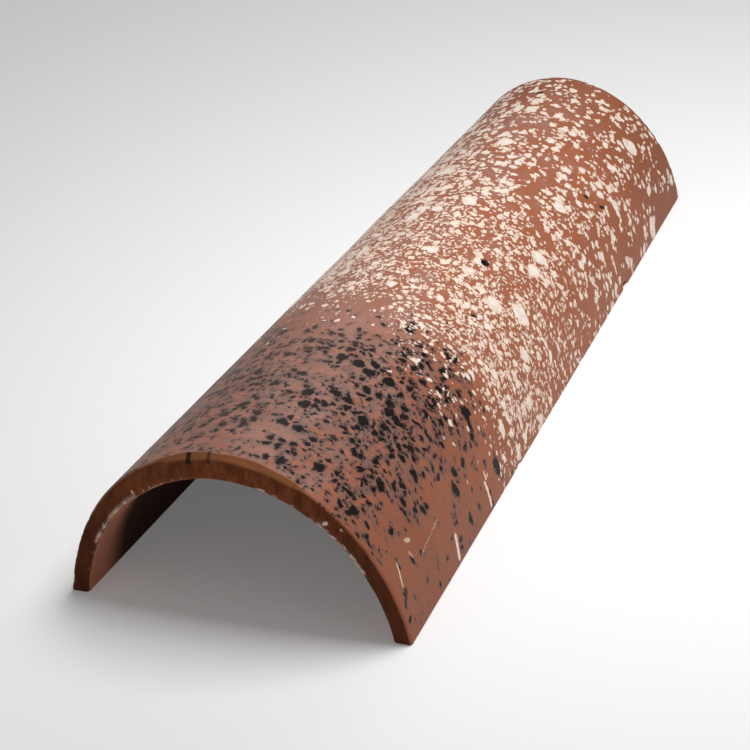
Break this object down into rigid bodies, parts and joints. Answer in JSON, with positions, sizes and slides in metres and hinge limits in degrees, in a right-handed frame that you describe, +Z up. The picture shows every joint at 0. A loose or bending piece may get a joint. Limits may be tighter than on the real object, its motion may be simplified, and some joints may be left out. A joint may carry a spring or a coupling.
{
  "type": "clay roof tile",
  "caption": "Tapered half-round clay roof tile with a thick crown, rounded end rims, flat leg bottoms and a small nail hole, speckled in cream and black over terracotta.",
  "frame": {"origin": "centre of the tile's footprint, on the ground plane under the leg bottoms", "axes": "+Y along the tile from its wide end to its narrow end, +Z up through the crown, +X across"},
  "size_m": [0.1498, 0.4, 0.0749],
  "materials": {
    "fired_clay": "matt fired terracotta with cream and black engobe flecks"
  },
  "bodies": {
    "root": {"barrel_tile": "fired_clay"}
  },
  "joints": []
}
